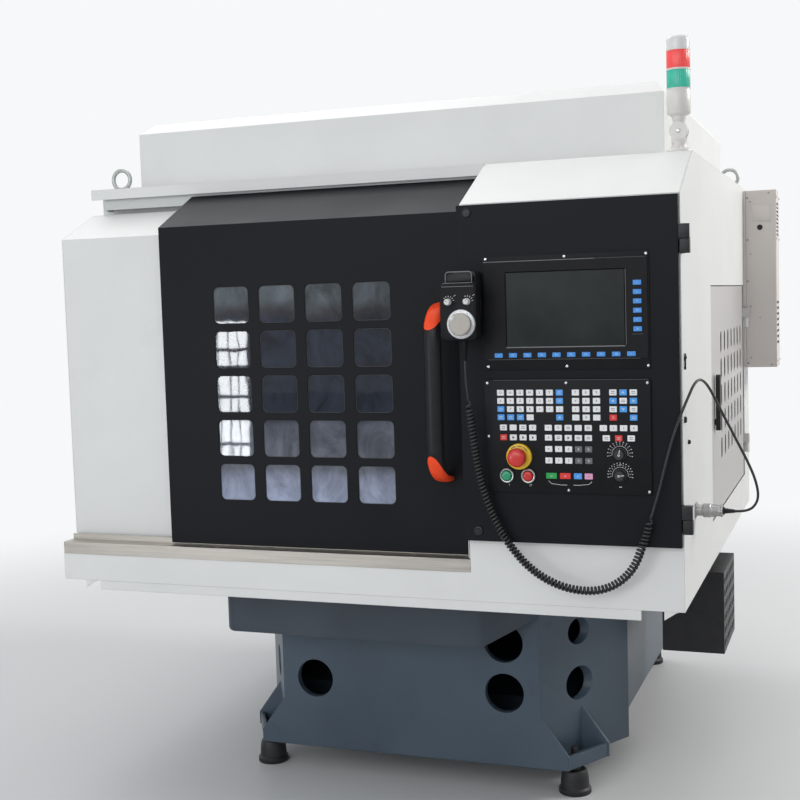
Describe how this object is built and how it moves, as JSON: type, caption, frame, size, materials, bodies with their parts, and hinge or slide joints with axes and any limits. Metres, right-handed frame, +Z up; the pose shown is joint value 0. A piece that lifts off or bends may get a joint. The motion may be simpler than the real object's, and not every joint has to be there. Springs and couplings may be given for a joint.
{
  "type": "CNC engraving machine",
  "caption": "Fully enclosed CNC engraving and milling machine with a windowed sliding door, a hinged control panel with a hand pendant, and a moving table under a fixed gantry.",
  "frame": {"origin": "middle of the machine's box on the floor, cord left out", "axes": "+X is the operator's right, -Y is the front, +Z is up"},
  "size_m": [1.7278, 1.678, 1.826],
  "materials": {
    "base_paint": "slate blue paint, satin",
    "bright_steel": "ground",
    "button_green": "gloss",
    "button_red": "gloss",
    "casting_paint": "satin",
    "connector_metal": "satin nickel",
    "cord_black": "matte",
    "dial_black": "satin",
    "door_black": "powder coat, fine satin",
    "estop_red": "gloss",
    "estop_yellow": "satin",
    "exchanger_grey": "satin",
    "foot_black": "black oxide",
    "grip_black": "satin",
    "grip_orange": "satin",
    "hinge_black": "satin",
    "key_blue": "satin",
    "knob_white": "satin",
    "lamp_grey": "satin",
    "lamp_white": "satin",
    "lens_clear": "gloss",
    "lens_green": "gloss",
    "lens_red": "gloss",
    "lock_chrome": "polished",
    "panel_plastic": "fine grain",
    "screen_glass": "polished",
    "sheet_grey": "satin",
    "shell_white": "powder coat, satin",
    "sill_steel": "brushed",
    "table_iron": "ground",
    "tray_grey": "satin",
    "trim_black": "satin",
    "wheel_metal": "turned",
    "window_smoke": "polished"
  },
  "bodies": {
    "machine": {"machine_base": "base_paint", "levelling_feet": "foot_black", "floor_pan": "sheet_grey", "chip_tray": "tray_grey", "front_skirt": "shell_white", "door_sill": "sill_steel", "enclosure_shell": "shell_white", "left_front_panel": "shell_white", "roof_panel": "shell_white", "rear_hood": "shell_white", "control_cabinet": "shell_white", "lifting_eyes": "bright_steel", "door_rail": "sheet_grey", "fixed_hinges": "hinge_black", "panel_socket": "connector_metal", "cord_plug": "connector_metal", "cord_tail": "cord_black", "heat_exchanger": "exchanger_grey", "transformer_box": "trim_black", "lamp_foot": "lamp_grey", "gantry_frame": "casting_paint", "guide_rails": "bright_steel"},
    "sliding_door": {"sliding_door": "door_black", "door_window": "window_smoke", "door_grip": "grip_black", "grip_ends": "grip_orange"},
    "control_door": {"control_door": "door_black", "door_hinges": "hinge_black", "display_unit": "panel_plastic", "display_screen": "screen_glass", "function_keys": "key_blue", "keypad": "panel_plastic", "estop_ring": "estop_yellow", "button_bezels": "bright_steel", "pendant_holder": "trim_black", "pendant_body": "panel_plastic", "cord_lead": "cord_black", "cord_curl": "cord_black"},
    "lamp": {"lamp_body": "lamp_white", "green_lens": "lens_green", "red_lens": "lens_red", "lamp_cap": "lens_clear"},
    "upper_lock": {"upper_lock": "lock_chrome"},
    "lower_lock": {"lower_lock": "lock_chrome"},
    "estop_button": {"estop_button": "estop_red"},
    "start_button": {"start_button": "button_green"},
    "stop_button": {"stop_button": "button_red"},
    "feed_dial": {"feed_dial": "dial_black"},
    "spindle_dial": {"spindle_dial": "dial_black"},
    "handwheel": {"handwheel": "wheel_metal"},
    "axis_knob": {"axis_knob": "knob_white"},
    "step_knob": {"step_knob": "knob_white"},
    "side_door": {"side_door": "shell_white"},
    "side_latch": {"side_latch": "trim_black"},
    "work_table": {"work_table": "table_iron"},
    "y_screw": {"y_screw": "bright_steel"},
    "x_carriage": {"x_carriage": "casting_paint"},
    "x_screw": {"x_screw": "bright_steel"},
    "z_head": {"z_head": "casting_paint"},
    "spindle_rotor": {"spindle_rotor": "bright_steel"}
  },
  "joints": [
    {"name": "sliding_door_slide", "type": "slide", "parent": "machine", "child": "sliding_door", "axis": [-1, 0, 0], "range_m": [0, 0.29]},
    {"name": "control_door_hinge", "type": "hinge", "parent": "machine", "child": "control_door", "pos_m": [0.7545, -0.733, 1.05], "axis": [0, 0, 1], "range_deg": [0, 110], "deforming": ["cord_tail"]},
    {"name": "upper_lock_turn", "type": "hinge", "parent": "control_door", "child": "upper_lock", "pos_m": [0.2765, -0.741, 1.433], "axis": [0, 1, 0], "range_deg": [0, 90]},
    {"name": "lower_lock_turn", "type": "hinge", "parent": "control_door", "child": "lower_lock", "pos_m": [0.2865, -0.741, 0.718], "axis": [0, 1, 0], "range_deg": [-90, 0]},
    {"name": "estop_press", "type": "slide", "parent": "control_door", "child": "estop_button", "axis": [0, 1, 0], "range_m": [0, 0.006]},
    {"name": "start_press", "type": "slide", "parent": "control_door", "child": "start_button", "axis": [0, 1, 0], "range_m": [0, 0.003], "stiffness_N_per_m": 400},
    {"name": "stop_press", "type": "slide", "parent": "control_door", "child": "stop_button", "axis": [0, 1, 0], "range_m": [0, 0.003], "stiffness_N_per_m": 400},
    {"name": "feed_dial_turn", "type": "hinge", "parent": "control_door", "child": "feed_dial", "pos_m": [0.6115, -0.747, 0.898], "axis": [0, 1, 0], "range_deg": [-135, 135]},
    {"name": "spindle_dial_turn", "type": "hinge", "parent": "control_door", "child": "spindle_dial", "pos_m": [0.6115, -0.747, 0.852], "axis": [0, 1, 0], "range_deg": [-135, 135]},
    {"name": "handwheel_turn", "type": "hinge", "parent": "control_door", "child": "handwheel", "pos_m": [0.2835, -0.819, 1.188], "axis": [0, 1, 0], "continuous": true},
    {"name": "axis_knob_turn", "type": "hinge", "parent": "control_door", "child": "axis_knob", "pos_m": [0.2545, -0.819, 1.237], "axis": [0, 1, 0], "range_deg": [-75, 75]},
    {"name": "step_knob_turn", "type": "hinge", "parent": "control_door", "child": "step_knob", "pos_m": [0.2975, -0.819, 1.237], "axis": [0, 1, 0], "range_deg": [-75, 75]},
    {"name": "side_door_hinge", "type": "hinge", "parent": "machine", "child": "side_door", "pos_m": [0.7515, 0.6975, 0.956], "axis": [0, 0, 1], "range_deg": [0, 85]},
    {"name": "side_latch_turn", "type": "hinge", "parent": "side_door", "child": "side_latch", "pos_m": [0.7395, -0.095, 0.902], "axis": [1, 0, 0], "range_deg": [0, 90]},
    {"name": "lamp_swivel", "type": "hinge", "parent": "machine", "child": "lamp", "pos_m": [0.7085, -0.471, 1.611], "axis": [0, 1, 0], "range_deg": [-90, 90]},
    {"name": "table_travel", "type": "slide", "parent": "machine", "child": "work_table", "axis": [0, 1, 0], "range_m": [-0.2, 0.3]},
    {"name": "y_screw_turn", "type": "hinge", "parent": "machine", "child": "y_screw", "pos_m": [0.0025, 0.079, 0.66], "axis": [0, 1, 0], "continuous": true},
    {"name": "carriage_travel", "type": "slide", "parent": "machine", "child": "x_carriage", "axis": [1, 0, 0], "range_m": [-0.27, 0.27]},
    {"name": "x_screw_turn", "type": "hinge", "parent": "machine", "child": "x_screw", "pos_m": [0.0025, 0.155, 1.1], "axis": [1, 0, 0], "continuous": true},
    {"name": "head_travel", "type": "slide", "parent": "x_carriage", "child": "z_head", "axis": [0, 0, 1], "range_m": [-0.085, 0.035]},
    {"name": "spindle_turn", "type": "hinge", "parent": "z_head", "child": "spindle_rotor", "pos_m": [0.0025, 0.019, 0.95], "axis": [0, 0, 1], "continuous": true}
  ],
  "couplings": [
    {"joint": "y_screw_turn", "follows": "table_travel", "rad_per_m": 628.32},
    {"joint": "x_screw_turn", "follows": "carriage_travel", "rad_per_m": 628.32}
  ]
}
